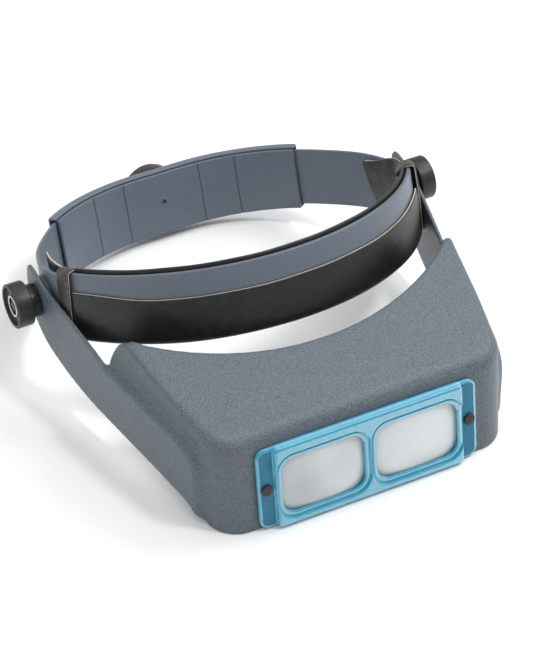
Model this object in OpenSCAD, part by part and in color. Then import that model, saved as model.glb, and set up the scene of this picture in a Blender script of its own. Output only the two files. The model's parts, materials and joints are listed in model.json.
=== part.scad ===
/* [Headband] */
// Half width of the band's outer face at its widest place
band_half_width = 90.9; // [90:0.1:92]
// Reach of the band's outer face in front of the pivot axis
band_front = 78; // [76:0.5:80]
// Reach of the rear sleeve's outer face behind the pivot axis
band_rear = 76; // [75:0.5:77]
// Height of the front band at the forehead
front_band_h = 32.5; // [30:0.5:34]
// Thickness of the front band
band_wall = 2; // [1.8:0.1:2.2]
// Height of the side straps
strap_h = 28.4; // [26:0.2:28.6]
// Thickness of the side straps
strap_wall = 1.6; // [1.4:0.1:1.7]
// Backward lean of the headband as it rests, in degrees
band_pitch = 18.9; // [18.5:0.1:19.3]
// Thickness of the leather
leather = 1.2; // [1:0.1:1.3]

/* [Rear sleeve] */
// Height of the rear sleeve
sleeve_h = 32; // [31:0.5:32]
// Thickness of the whole sleeve, outer plate to inner plate
sleeve_depth = 6; // [5.8:0.1:6.4]
// Thickness of the sleeve's outer plate and of its inner plate
sleeve_wall = 1.5; // [1.2:0.1:1.6]
// Diameter of the rear knob
rear_knob_d = 29; // [26:1:29]

/* [Side knobs] */
// Diameter of the knob's head
knob_d = 21.6; // [19:0.2:22]
// Diameter of the knob's hub
hub_d = 15.5; // [14:0.5:16]
// Diameter of the pivot bolts
bolt_d = 5; // [4:0.5:5]
// Distance between the outer faces of the two side knobs
overall_width = 216; // [214:1:218]

/* [Visor] */
// Thickness of the visor's moulded wall
shell_wall = 2.6; // [2.2:0.1:3]
// Step between the arm panel and the side wall of the hood
side_step = 4; // [3.5:0.5:4.5]
// Slope of the hood's top plate
top_slope = 0.2075; // [0.19:0.005:0.22]
// Radius of the hood's concave rear edge
brow_radius = 122; // [118:1:126]
// Radius of the hood's upright front corners
corner_radius = 12; // [10:1:16]

/* [Lens plate] */
// Width of the lens plate
plate_w = 108.4; // [107:0.2:110]
// Height of the lens plate
plate_h = 40.8; // [39:0.2:41]
// Thickness of the end flanges
flange_t = 2; // [1.8:0.1:2.4]
// How far the middle box stands out of the flanges
box_rise = 2.8; // [2.4:0.1:3]
// Width of one lens window
window_w = 40; // [38:0.5:41]
// Height of one lens window
window_h = 27.6; // [26:0.2:28]
// Distance between the two plate pins
pin_spacing = 100.4; // [99:0.2:101]
// Diameter of the pin shank
pin_d = 3.8; // [3.4:0.1:4]

/* [Hidden] */
$fn = 96;

// Pivot axis of the visor in the part's frame: it runs along X
pivot_y = 28.8;
pivot_z = 42;

// Band outline: four tangent arcs a side, in the band's own frame, pivot axis at the origin
widest_y = -10;
front_r = 100;
side_r = 90.5;
rear_r = band_rear;
front_cy = front_r - band_front;
temple_dy = front_cy - widest_y;
temple_r = (pow(front_r, 2) - pow(band_half_width, 2) - pow(temple_dy, 2))
           / (2 * (front_r - band_half_width));
temple_cx = band_half_width - temple_r;
front_end = -atan2(temple_dy, temple_cx);
side_cx = band_half_width - side_r;
rear_cx = side_cx + sqrt(pow(side_r - rear_r, 2) - pow(widest_y, 2));
rear_start = atan2(-widest_y, rear_cx - side_cx);

// Heights in the band's frame
front_top = 18;
front_bottom = front_top - front_band_h;
temple_top = 15.4;
strap_z = -0.4;
flex_y = 10.5;
flex_gap = 0.4;
side_flex = asin((flex_y - widest_y) / side_r);

// Strap tails inside the sleeve: they lie in the middle of its gap
tail_in = sleeve_depth / 2 - strap_wall / 2;
tail_shift = 0.4;
tail_end = 12;

// Height of the rear stud above the band's middle
stud_z = 0.2;

// Pivot stack along X, from the band outwards
boss_r = 10;
boss_inner_x = 90.2;
boss_outer_x = 92.2;
bolt_head_t = 1.4;
washer_t = 1.15;
arm_inner_x = boss_outer_x + washer_t + 0.05;
arm_t = 2.3;
arm_outer_x = arm_inner_x + arm_t;
hub_x = arm_outer_x + 0.1;
head_x = 100.4;
face_x = overall_width / 2;
bolt_r = bolt_d / 2;
bolt_end_x = 103;
running = 0.08;

// Plan line of the arms: flat at the pivot, then closing towards the front
arm_bend_y = -9;
arm_slope = 0.16;
panel_end_y = -127;
brow_centre_y = 26.2;
ear_w = 4;

// Lens plate frame: origin at the middle of the plate's outer flange surface
plate_y = -140.2;
plate_z = -20.8;
plate_lean = 7.9;
wall_front = 0.1;
box_half = 46.2;
window_x = 23.2;
window_y = 0.7;
floor_z = -pivot_z;
wall_line_y = plate_y + (flange_t + wall_front) / cos(plate_lean);
ridge_r = 6;
top_at_ear = 18.8;
ear_y = -66.8;

// ---- frames ----
module visor_frame() {
    translate([0, pivot_y, pivot_z]) children();
}

module band_frame() {
    visor_frame() rotate([-band_pitch, 0, 0]) children();
}

module plate_frame() {
    visor_frame() translate([0, plate_y, plate_z]) rotate([90 - plate_lean, 0, 0]) children();
}

// side = 1 draws a piece on the right (+X), side = -1 mirrors it to the left
module on_side(side) {
    if (side > 0) children();
    else mirror([1, 0, 0]) children();
}

// ---- outlines ----
function arc_points(c, r, a0, a1, step = 4) =
    let (n = ceil(abs(a1 - a0) / step))
    [for (i = [0 : n]) let (a = a0 + (a1 - a0) * i / n) c + r * [cos(a), sin(a)]];

function curve_points(p0, p1, p2, n = 10) =
    [for (i = [0 : n]) let (t = i / n) pow(1 - t, 2) * p0 + 2 * t * (1 - t) * p1 + t * t * p2];

function reversed(v) = [for (i = [len(v) - 1 : -1 : 0]) v[i]];

function mirrored(v) = [for (p = reversed(v)) [-p[0], p[1]]];

// Outline stretches on the right side at offset o, walking from front to rear
function front_stretch(o, from = -90) = arc_points([0, front_cy], front_r + o, from, front_end);
function temple_stretch(o, from, to) = arc_points([temple_cx, widest_y], temple_r + o, from, to);
function side_stretch(o, from, to) = arc_points([side_cx, widest_y], side_r + o, from, to);
function rear_stretch(o, from, to) = arc_points([rear_cx, 0], rear_r + o, from, to);

// Strip between two point lists that run the same way
module strip(outer, inner, z0, z1) {
    translate([0, 0, z0])
        linear_extrude(height = z1 - z0) polygon(concat(outer, reversed(inner)));
}

// Whole front hoop between offsets o1 and o2, up to the side angle given
module hoop(o1, o2, end_angle, z0, z1) {
    function half(o) = concat(front_stretch(o), temple_stretch(o, front_end, 0),
                              side_stretch(o, 0, end_angle));
    function whole(o) = concat(mirrored(half(o)), half(o));
    strip(whole(o1), whole(o2), z0, z1);
}

// Stretch of the right temple between two angles on the temple arc and the side arc
module temple_strip(o1, o2, from, to, z0, z1) {
    function run(o) = concat(temple_stretch(o, from, 0), side_stretch(o, 0, to));
    strip(run(o1), run(o2), z0, z1);
}

// Bar along +X from x0 to x1
module x_bar(r, x0, x1) {
    translate([x0, 0, 0]) rotate([0, 90, 0]) cylinder(r = r, h = x1 - x0);
}

// Solid whose side view is the polygon of [y, z] points, from x0 to x1
module side_solid(points, x0, x1) {
    translate([x0, 0, 0]) rotate([90, 0, 90]) linear_extrude(height = x1 - x0) polygon(points);
}

// ---- headband ----
module front_band() {
    crown = [[-90, front_bottom], [-90, front_top], [-30, front_top], [-14, temple_top],
             [20, temple_top], [20, front_bottom]];
    color("slategray") band_frame() difference() {
        union() {
            intersection() {
                hoop(0, -band_wall, side_flex, front_bottom, front_top);
                side_solid(crown, -100, 100);
            }
            intersection() {
                for (side = [-1, 1]) on_side(side) x_bar(boss_r, 80, boss_outer_x);
                hoop(5, 0.4 - band_wall, side_flex, -boss_r - 1, boss_r + 1);
            }
        }
        for (side = [-1, 1]) on_side(side) {
            x_bar(bolt_r + running, 80, 95);
            x_bar(6.5, 80, boss_inner_x);
        }
    }
}

// Leather folded round the band's lower edge: outer ply, fold and taller inner ply
module comfort_band() {
    gap = 0.3;
    ply_end = -4;
    fold_z = front_bottom - gap - leather;
    outer_top = 5.5;
    inner_top = 19.3;
    function whole(o) = concat(mirrored(front_stretch(o)), front_stretch(o));
    color("#2b2725") band_frame() {
        strip(whole(gap + leather), whole(gap), fold_z, outer_top);
        strip(whole(gap + leather), whole(-band_wall - gap - 2 * leather), fold_z, fold_z + leather);
        strip(whole(-band_wall - gap), whole(-band_wall - gap - 2 * leather), fold_z, inner_top);
    }
}

// Leather tab that wraps the band in front of the pivot and lies inside the side strap
module keeper(side) {
    gap = 0.1;
    inner = -band_wall - 0.8;
    wrap_from = front_end + 1;
    wrap_to = -22;
    tongue_end = asin((19 - widest_y) / side_r);
    tongue = [[-35, 13.5], [-35, 17.3], [-12, 17.3], [17.5, 12.2], [12.5, -8], [4, -4.5], [-11, 6]];
    top_z = front_top + gap;
    color("#3a2c26") band_frame() on_side(side) {
        strip(temple_stretch(gap + leather, wrap_from, wrap_to), temple_stretch(gap, wrap_from, wrap_to),
              front_bottom, top_z + leather);
        strip(temple_stretch(gap + leather, wrap_from, wrap_to),
              temple_stretch(inner - leather, wrap_from, wrap_to), top_z, top_z + leather);
        strip(temple_stretch(inner, wrap_from, wrap_to),
              temple_stretch(inner - leather, wrap_from, wrap_to), 15, top_z + leather);
        intersection() {
            temple_strip(inner, inner - leather, wrap_from, tongue_end, -14, 17.3);
            side_solid(tongue, 60, 100);
        }
    }
}

// Strap from the temple to the middle of the sleeve, slimmer than the gap that it slides in
module side_strap(side) {
    z0 = strap_z - strap_h / 2;
    z1 = strap_z + strap_h / 2;
    o1 = -tail_in;
    start = asin((flex_y + flex_gap - widest_y) / side_r);
    entry = rear_start - 8;
    stop = acos((tail_end - rear_cx) / rear_r);
    function lead(o) = [for (a = [start : 2 : entry]) let (u = (a - start) / (entry - start), t = u * u * (3 - 2 * u))
        [side_cx, widest_y] + (side_r + (1 - t) * (o - o1 - 0.2) + t * o) * [cos(a), sin(a)]];
    function tail(o) = arc_points([rear_cx + tail_shift, 0], rear_r + o, rear_start - 3, stop, 3);
    function run(o) = concat(lead(o), tail(o));
    color("slategray") band_frame() on_side(side) strip(run(o1), run(o1 - strap_wall), z0, z1);
}

// ---- rear sleeve ----
function sleeve_half(o) = reversed(rear_stretch(o, rear_start, 90));
function sleeve_run(o) = concat(mirrored(sleeve_half(o)), sleeve_half(o));

// Outer plate of the sleeve with a rim folded over its top and its bottom edge
module rear_sleeve() {
    rim = 1.1;
    half_h = sleeve_h / 2;
    color("#5f6b78") band_frame() difference() {
        union() {
            strip(sleeve_run(0), sleeve_run(-sleeve_wall), -half_h, half_h);
            for (z = [-half_h, half_h - rim])
                strip(sleeve_run(-sleeve_wall / 2), sleeve_run(-sleeve_depth + sleeve_wall), z, z + rim);
        }
        rear_stud_hole(bolt_r - 0.5 + running);
    }
}

// Frame of the rear clamp: local +Z runs out of the sleeve, y is the distance behind the pivot
module stud_frame(y) {
    translate([0, y, stud_z]) rotate([-90, 0, 0]) children();
}

module rear_stud_hole(r) {
    stud_frame(band_rear - 12) cylinder(r = r, h = 20);
}

// Scored liner that closes the sleeve on the head's side
module rear_inner_plate() {
    half_h = sleeve_h / 2 - 1.4;
    score_depth = 0.4;
    color("#66727e") band_frame() difference() {
        strip(sleeve_run(-sleeve_depth + sleeve_wall), sleeve_run(-sleeve_depth), -sleeve_h / 2, half_h);
        rear_stud_hole(1.4);
        for (x = [-39.8, -20.8, 20.8, 39.8]) {
            a = acos((abs(x) - rear_cx) / rear_r);
            c = [sign(x) * rear_cx, 0, 0];
            translate(c) rotate([0, 0, x > 0 ? a : 180 - a])
                translate([rear_r - sleeve_depth, 0, 0])
                    cube([2 * score_depth, 0.7, sleeve_h - 7], center = true);
        }
    }
}

module rear_stud() {
    color("silver") band_frame() stud_frame(band_rear - sleeve_depth + 0.5) {
        cylinder(r = 1.3, h = 1.2);
        translate([0, 0, 1.05]) cylinder(r = 4.5, h = 1.4);
        translate([0, 0, 2.4]) cylinder(r = 2, h = 11.6);
    }
}

module rear_washer() {
    color("#3a3533") band_frame() stud_frame(band_rear + 0.02) difference() {
        cylinder(r = 8.5, h = 0.8);
        translate([0, 0, -1]) cylinder(r = 2.2, h = 3);
    }
}

// Knob made by turning: hub, head with eased edges, dished face, bore for its insert
module turned_knob(hub_r, head_r, hub_h, head_h, insert_r, insert_h, dish_r) {
    ease = 0.8;
    full = hub_h + head_h;
    rotate_extrude() polygon([
        [insert_r, 0], [hub_r, 0], [hub_r, hub_h], [head_r - ease, hub_h], [head_r, hub_h + ease],
        [head_r, full - ease], [head_r - ease, full], [dish_r, full], [dish_r, full - 1.6],
        [0, full - 1.6], [0, insert_h], [insert_r, insert_h]
    ]);
}

module turned_insert(r, hole_r, h) {
    difference() {
        cylinder(r = r, h = h);
        translate([0, 0, -1]) cylinder(r = hole_r, h = h + 2);
    }
}

// Trim ring that lies in the knob's dish
module trim_ring(r) {
    width = 1.5;
    ease = 0.3;
    rotate_extrude() polygon([[r - width, 0], [r, 0], [r, 0.9 - ease], [r - ease, 0.9],
                              [r - width + ease, 0.9], [r - width, 0.9 - ease]]);
}

module rear_knob_frame() {
    band_frame() stud_frame(band_rear + 0.95) children();
}

module rear_knob() {
    color("#2e2a28") rear_knob_frame() turned_knob(9, rear_knob_d / 2, 4, 7.5, 3.6, 8, 9.6);
}

module rear_knob_insert() {
    color("goldenrod") rear_knob_frame() translate([0, 0, 0.05]) turned_insert(3.6, 2 + running, 7.9);
}

module rear_knob_ring() {
    color("silver") rear_knob_frame() translate([0, 0, 9.9]) trim_ring(7);
}

// ---- side pivots ----
module pivot_bolt(side) {
    color("silver") visor_frame() on_side(side) {
        x_bar(6, boss_inner_x - bolt_head_t, boss_inner_x);
        x_bar(bolt_r, boss_inner_x - 0.5, bolt_end_x);
    }
}

module friction_washer(side) {
    color("#4a4643") visor_frame() on_side(side) difference() {
        x_bar(9, boss_outer_x, boss_outer_x + washer_t);
        x_bar(bolt_r + 0.3, 90, 95);
    }
}

module side_knob_frame(side) {
    visor_frame() on_side(side) translate([hub_x, 0, 0]) rotate([0, 90, 0]) children();
}

module side_knob(side) {
    color("#3a3533") side_knob_frame(side)
        turned_knob(hub_d / 2, knob_d / 2, head_x - hub_x, face_x - head_x, 4.2, 8.2, 7.4);
}

module side_knob_insert(side) {
    color("goldenrod") side_knob_frame(side) translate([0, 0, 0.05]) turned_insert(4.2, bolt_r + running, 8.1);
}

module side_knob_ring(side) {
    color("silver") side_knob_frame(side) translate([0, 0, face_x - hub_x - 1.6]) trim_ring(5.5);
}

// ---- visor ----
// Half width of the arms' outer face at depth y, and of the hood's side walls
function arm_x(y) = arm_outer_x + arm_slope * min(0, y - arm_bend_y);
function hood_x(y) = arm_x(y) - side_step;

// Side view of the crease where it turns down the arm panel's front end
function panel_front() = curve_points([-112, -2.9], [-124.5, -2.9], [-125.4, -14], 6);

// Side view of one arm and its panel: tip, upper edge, crease corner, front end, lower edge
function arm_outline() = concat(
    [[9.2, -9], [9.6, 11.5], [7.6, 14.4]],
    curve_points([5, 14.5], [-25, 10], [-58, -0.6]),
    panel_front(),
    [[-126, -35.6], [-122.5, -35.6], [-120, -34.4], [-60, -30.9]],
    curve_points([-50, -30], [-24, -28], [0, -13.6]),
    [[4.5, -12.2], [7.5, -12]]);

// Right-hand plan slab between two distances in from the arm's outer face
module arm_slab(in1, in2, y0, y1) {
    function edge(d) = [for (y = [y0, arm_bend_y, y1]) [arm_x(y) - d, y]];
    translate([0, 0, floor_z - 5]) linear_extrude(height = 80)
        polygon(concat(edge(in1), reversed(edge(in2))));
}

module arm(side) {
    on_side(side) intersection() {
        arm_slab(0, arm_t, panel_end_y, 12);
        side_solid(arm_outline(), 60, 100);
    }
}

// Side view of the hood, grown inwards by w: front wall, rounded ridge, top plate, ear
function hood_outline(w) =
    let (lean = tan(plate_lean),
         top = function (y) top_at_ear + top_slope * (y - ear_y) - w * sqrt(1 + pow(top_slope, 2)),
         front = function (z) wall_line_y + w / cos(plate_lean) + (z - plate_z) * lean,
         ridge_z = (top_at_ear + top_slope * (front(0) - ear_y)) / (1 - top_slope * lean) - w,
         r = ridge_r + 2)
    concat([[-52, floor_z - (w > 0 ? 10 : 0)], [front(floor_z), floor_z - (w > 0 ? 10 : 0)]],
        curve_points([front(ridge_z - r), ridge_z - r], [front(ridge_z), ridge_z],
                     [front(ridge_z) + r, top(front(ridge_z) + r)], 8),
        [[w > 0 ? -50 : -70, top(w > 0 ? -50 : -70)]],
        w > 0 ? [] : curve_points([-68.5, top(-68.5)], [-60.5, 18], [-57.6, 5.7], 6),
        w > 0 ? [] : [[-56.8, -1]]);

// Plan of the hood, grown inwards by w, between the side walls and the rounded front corners
module hood_plan(w) {
    front_y = wall_line_y - 3.2 + w;
    r = corner_radius - w;
    x0 = hood_x(front_y + r) - w;
    side = concat([[hood_x(-50) - w, -50]], arc_points([x0 - r, front_y + r], r, 0, -90, 9));
    translate([0, 0, floor_z - 12]) linear_extrude(height = 90)
        polygon(concat(side, mirrored(side)));
}

module hood_body(w) {
    intersection() {
        side_solid(hood_outline(w), -100, 100);
        hood_plan(w);
    }
}

// Hood walls: open below, cut back to a concave brow edge, sides ending at the crease
module hood() {
    below_crease = [[-40, -60], [-122, -60], [-122, -6], [-110, -5.4], [-40, -3.2]];
    difference() {
        hood_body(0);
        hood_body(shell_wall);
        // the brow edge stops short of the side walls, which run back to the ears
        intersection() {
            translate([0, brow_centre_y, -60]) cylinder(r = brow_radius, h = 130, $fn = 180);
            hood_plan(ear_w);
        }
        for (side = [-1, 1]) on_side(side) side_solid(below_crease, 60, 100);
    }
}

// Ledge that carries the arm panel outside the hood's side wall
module ledge(side) {
    rim = concat([[-57.4, -3.2], [-57.4, -0.7]], panel_front(),
                 [[-126, -36.6], [-122.5, -35.6], [-121.9, -16], [-120, -8], [-111, -5.6]]);
    on_side(side) intersection() {
        arm_slab(0, side_step + shell_wall - 0.6, panel_end_y, -57);
        side_solid(rim, 60, 100);
    }
}

module visor_shell() {
    color("#66717c") difference() {
        visor_frame() difference() {
            union() {
                hood();
                for (side = [-1, 1]) {
                    arm(side);
                    ledge(side);
                }
            }
            for (side = [-1, 1]) on_side(side) {
                x_bar(bolt_r + running, 80, 100);
                x_bar(boss_r + 2, 80, arm_inner_x);
            }
            translate([-150, -200, floor_z - 20]) cube([300, 300, 20]);
        }
        plate_frame() {
            translate([-45, -15.5, -8]) cube([90, 32, 8]);
            for (x = [-1, 1] * pin_spacing / 2)
                translate([x, 0, -8]) cylinder(r = pin_d / 2 + 0.1, h = 9);
        }
    }
}

// ---- lens plate ----
module rounded_box(w, h, r, z0, z1) {
    translate([0, 0, z0]) linear_extrude(height = z1 - z0) union() {
        square([w - 2 * r, h], center = true);
        square([w, h - 2 * r], center = true);
        for (x = [-1, 1] * (w / 2 - r), y = [-1, 1] * (h / 2 - r)) translate([x, y]) circle(r = r);
    }
}

module lens_plate() {
    color("#3fa6c6", 0.8) plate_frame() difference() {
        union() {
            rounded_box(plate_w, plate_h, 4, -flange_t, 0);
            rounded_box(2 * box_half, plate_h, 1, -flange_t, box_rise);
        }
        for (x = [-1, 1] * window_x) translate([x, window_y, 0]) {
            rounded_box(window_w, window_h, 6, -5, 5);
            rounded_box(window_w + 3, window_h + 3, 7, -5, 1.2);
        }
        for (x = [-1, 1] * pin_spacing / 2) translate([x, 0, -5]) cylinder(r = pin_d / 2 + 0.1, h = 9);
    }
}

// Biconvex lens cut to the window's shape
module lens(side) {
    bulge_r = 90;
    crown_z = box_rise - 0.5;
    color("white", 0.5) plate_frame() translate([side * window_x, window_y, 0]) intersection() {
        rounded_box(window_w + 2.8, window_h + 2.8, 6.9, -6, 1.15);
        translate([0, 0, crown_z - bulge_r]) sphere(r = bulge_r, $fn = 128);
        translate([0, 0, -5 + bulge_r]) sphere(r = bulge_r, $fn = 128);
    }
}

module plate_pin(side) {
    color("#3a3533") plate_frame() translate([side * pin_spacing / 2, 0, 0]) {
        translate([0, 0, 0.05]) cylinder(r = 2.7, h = 1.4);
        translate([0, 0, -6.5]) cylinder(r = pin_d / 2, h = 7);
    }
}

front_band();
comfort_band();
keeper(-1);  // left_keeper
keeper(1);  // right_keeper
side_strap(-1);  // left_side_strap
side_strap(1);  // right_side_strap
rear_sleeve();
rear_inner_plate();
rear_stud();
rear_washer();
rear_knob();
rear_knob_insert();
rear_knob_ring();
pivot_bolt(-1);  // left_pivot_bolt
pivot_bolt(1);  // right_pivot_bolt
friction_washer(-1);  // left_friction_washer
friction_washer(1);  // right_friction_washer
side_knob(-1);  // left_knob
side_knob(1);  // right_knob
side_knob_insert(-1);  // left_knob_insert
side_knob_insert(1);  // right_knob_insert
side_knob_ring(-1);  // left_knob_ring
side_knob_ring(1);  // right_knob_ring
visor_shell();
lens_plate();
lens(-1);  // left_lens
lens(1);  // right_lens
plate_pin(-1);  // left_plate_pin
plate_pin(1);  // right_plate_pin
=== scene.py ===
import json
import math

import bpy
import numpy as np
from mathutils import Matrix, Vector


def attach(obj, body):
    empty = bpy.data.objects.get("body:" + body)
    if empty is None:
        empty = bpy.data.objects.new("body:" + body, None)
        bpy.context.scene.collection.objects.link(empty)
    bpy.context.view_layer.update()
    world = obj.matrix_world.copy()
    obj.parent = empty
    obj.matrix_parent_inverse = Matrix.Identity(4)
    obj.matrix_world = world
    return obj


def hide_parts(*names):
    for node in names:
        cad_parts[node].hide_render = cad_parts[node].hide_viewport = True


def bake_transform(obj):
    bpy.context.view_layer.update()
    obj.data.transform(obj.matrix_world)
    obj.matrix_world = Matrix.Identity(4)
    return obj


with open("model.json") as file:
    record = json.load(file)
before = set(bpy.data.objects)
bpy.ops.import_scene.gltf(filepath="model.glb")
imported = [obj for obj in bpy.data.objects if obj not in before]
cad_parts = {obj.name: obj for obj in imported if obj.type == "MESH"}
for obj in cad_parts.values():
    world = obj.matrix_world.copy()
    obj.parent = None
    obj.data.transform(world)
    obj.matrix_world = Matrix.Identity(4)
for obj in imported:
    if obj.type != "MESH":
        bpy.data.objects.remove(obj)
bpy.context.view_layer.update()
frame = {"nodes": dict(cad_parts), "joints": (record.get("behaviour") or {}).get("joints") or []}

# Shapes are worked out in millimetres and stored in metres.
MM = 0.001
JOINTS = {joint["name"]: joint for joint in frame["joints"]}

# ---- frames: the pivot, the headband's own axes and the lens plate's own axes ----
ACROSS = np.array([1.0, 0.0, 0.0])
PIVOT = np.array(JOINTS["visor_tilt"]["pos_m"]) / MM
BAND_BACK = np.array(JOINTS["size_slide"]["axis"])
BAND_UP = np.array(JOINTS["left_strap_flex"]["axis"])
PLATE_OUT = np.array(JOINTS["lens_plate_release"]["axis"])
PLATE_UP = np.cross(PLATE_OUT, ACROSS) * -1.0
PLATE_Y, PLATE_Z = -140.2, -20.8
PLATE_MIDDLE = PIVOT + np.array([0.0, PLATE_Y, PLATE_Z])
FLOOR = -PIVOT[2]


def from_band(x, y, z):
    """Points given in the headband's axes, with the pivot as origin, as row points in mm."""
    along = np.multiply.outer(y, BAND_BACK) + np.multiply.outer(z, BAND_UP)
    return PIVOT + np.multiply.outer(x, ACROSS) + along


def from_plate(points):
    """Points given in the lens plate's axes, with the middle of its back as origin."""
    return PLATE_MIDDLE + points @ np.array([ACROSS, PLATE_UP, PLATE_OUT])


def from_visor(points):
    """Points given from the pivot, along the row's own axes."""
    return points + PIVOT


# ---- materials ----
def srgb(red, green, blue):
    """A colour as the eye sees it, from 0 to 255, as linear light."""
    def linear(c):
        c = c / 255
        return c / 12.92 if c <= 0.04045 else ((c + 0.055) / 1.055) ** 2.4
    return (linear(red), linear(green), linear(blue), 1.0)


def dimmed(colour, share):
    return tuple(share * c for c in colour[:3]) + (1.0,)


class Shader:
    """One procedural material: a Principled shader and short calls that wire detail into it."""

    def __init__(self, name, **sockets):
        self.material = bpy.data.materials.new(name)
        self.material.use_nodes = True
        self.tree = self.material.node_tree
        self.surface = self.tree.nodes["Principled BSDF"]
        self.height = None
        coordinates = self.tree.nodes.new("ShaderNodeTexCoord")
        self.place = coordinates.outputs["Object"]
        for socket, value in sockets.items():
            self.surface.inputs[socket.replace("_", " ")].default_value = value

    def link(self, output, target):
        self.tree.links.new(output, target)

    def noise(self, size_mm, detail=2.0, stretch=(1, 1, 1)):
        """Soft noise whose blotches are about size_mm across."""
        mapping = self.tree.nodes.new("ShaderNodeMapping")
        mapping.inputs["Scale"].default_value = stretch
        self.link(self.place, mapping.inputs["Vector"])
        node = self.tree.nodes.new("ShaderNodeTexNoise")
        node.inputs["Scale"].default_value = 1 / (size_mm * MM)
        node.inputs["Detail"].default_value = detail
        self.link(mapping.outputs["Vector"], node.inputs["Vector"])
        return node.outputs["Fac"]

    def cells(self, size_mm):
        """Distance to the nearest of scattered points that lie about size_mm apart."""
        node = self.tree.nodes.new("ShaderNodeTexVoronoi")
        node.inputs["Scale"].default_value = 1 / (size_mm * MM)
        self.link(self.place, node.inputs["Vector"])
        return node.outputs["Distance"]

    def mix(self, factor, first, second):
        """first where factor is 0 and second where it is 1. Each may be a colour or a socket."""
        colour_a, colour_b, colour_result = 6, 7, 2
        node = self.tree.nodes.new("ShaderNodeMix")
        node.data_type = "RGBA"
        self.feed(factor, node.inputs["Factor"])
        self.feed(first, node.inputs[colour_a])
        self.feed(second, node.inputs[colour_b])
        return node.outputs[colour_result]

    def feed(self, value, socket):
        """Links a socket, or sets a plain value."""
        if isinstance(value, bpy.types.NodeSocket):
            self.link(value, socket)
        else:
            socket.default_value = value

    def span(self, value, low, high):
        """value from 0 to 1 as a number from low to high."""
        node = self.tree.nodes.new("ShaderNodeMapRange")
        node.inputs["To Min"].default_value = low
        node.inputs["To Max"].default_value = high
        self.link(value, node.inputs["Value"])
        return node.outputs["Result"]

    def band(self, value, low, high):
        """0 below low and 1 above high, and smooth between."""
        node = self.tree.nodes.new("ShaderNodeMapRange")
        node.interpolation_type = "SMOOTHSTEP"
        node.inputs["From Min"].default_value = low
        node.inputs["From Max"].default_value = high
        self.link(value, node.inputs["Value"])
        return node.outputs["Result"]

    def colour(self, value):
        self.feed(value, self.surface.inputs["Base Color"])

    def roughness(self, value):
        self.link(value, self.surface.inputs["Roughness"])

    def bump(self, value, depth_mm, strength=1.0):
        """Adds a layer of relief, depth_mm deep, over those already there."""
        node = self.tree.nodes.new("ShaderNodeBump")
        node.inputs["Strength"].default_value = strength
        node.inputs["Distance"].default_value = depth_mm * MM
        self.link(value, node.inputs["Height"])
        if self.height is not None:
            self.link(self.height, node.inputs["Normal"])
        self.height = node.outputs["Normal"]
        self.link(self.height, self.surface.inputs["Normal"])


def grained_plastic(name, dark, light, grain_mm, depth_mm, rough):
    """Moulded plastic with a spark-eroded grain and faint mottling."""
    shader = Shader(name, IOR=1.5, Specular_IOR_Level=0.45)
    grain = shader.noise(grain_mm, 3.0)
    mottle = shader.noise(grain_mm * 14, 2.0)
    base = shader.mix(shader.band(grain, 0.36, 0.64), dark, light)
    shader.colour(shader.mix(shader.span(mottle, 0.0, 0.35), base, dimmed(light, 0.9)))
    shader.roughness(shader.span(mottle, rough - 0.05, rough + 0.06))
    shader.bump(mottle, depth_mm * 1.5, 0.25)
    shader.bump(grain, depth_mm, 1.0)
    return shader.material


def leather(name, dark, light, wrinkle_mm):
    """Smooth hide: fine pores, soft wrinkles with painted shade in their valleys, and rubbed, lighter
    patches.
    """
    shader = Shader(name, IOR=1.5, Specular_IOR_Level=0.6)
    pores = shader.cells(0.55)
    wrinkles = shader.noise(wrinkle_mm, 4.0, (1.0, 1.0, 1.6))
    rubbed = shader.noise(26.0, 3.0)
    base = shader.mix(shader.band(rubbed, 0.38, 0.68), dark, light)
    # the wrinkle valleys are painted darker: painted shade in the creases
    shader.colour(shader.mix(shader.band(wrinkles, 0.62, 0.42), base, dimmed(dark, 0.55)))
    shader.roughness(shader.span(rubbed, 0.4, 0.5))
    shader.bump(wrinkles, 0.35, 0.5)
    shader.bump(pores, 0.08, 0.6)
    return shader.material


def cut_edge(name):
    """The pale fibrous edge where leather was cut."""
    shader = Shader(name, Roughness=0.85)
    fibre = shader.noise(0.5, 4.0)
    shader.colour(shader.mix(shader.band(fibre, 0.3, 0.7), srgb(172, 160, 144), srgb(232, 224, 210)))
    shader.bump(fibre, 0.15, 0.8)
    return shader.material


def knob_plastic(name):
    """Dark phenolic plastic with brownish mottling."""
    shader = Shader(name, IOR=1.5, Specular_IOR_Level=0.5)
    flecks = shader.noise(0.9, 4.0)
    clouds = shader.noise(6.0, 3.0)
    base = shader.mix(shader.band(flecks, 0.4, 0.66), srgb(26, 24, 22), srgb(52, 47, 43))
    shader.colour(shader.mix(shader.band(clouds, 0.45, 0.7), base, srgb(38, 35, 33)))
    shader.roughness(shader.span(clouds, 0.34, 0.52))
    shader.bump(flecks, 0.06, 0.7)
    return shader.material


def metal(name, colour, rough):
    """Machined metal with fine brush marks."""
    shader = Shader(name, Metallic=1.0)
    brushing = shader.noise(0.25, 2.0, (6.0, 1.0, 1.0))
    darker = dimmed(colour, 0.7)
    shader.colour(shader.mix(brushing, darker, colour))
    shader.roughness(shader.span(brushing, rough - 0.08, rough + 0.1))
    shader.bump(brushing, 0.02, 0.5)
    return shader.material


def tinted_plastic(name, dark, light, clarity):
    """Translucent blue moulding of the lens plate, with faint flow lines."""
    shader = Shader(name, IOR=1.49, Transmission_Weight=clarity, Specular_IOR_Level=0.3)
    flow = shader.noise(5.0, 3.0, (1.0, 0.35, 1.0))
    specks = shader.noise(0.5, 2.0)
    shader.colour(shader.mix(shader.span(flow, 0.0, 1.0), dark, light))
    shader.roughness(shader.span(flow, 0.28, 0.42))
    shader.bump(flow, 0.1, 0.3)
    shader.bump(specks, 0.02, 0.4)
    return shader.material


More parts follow.
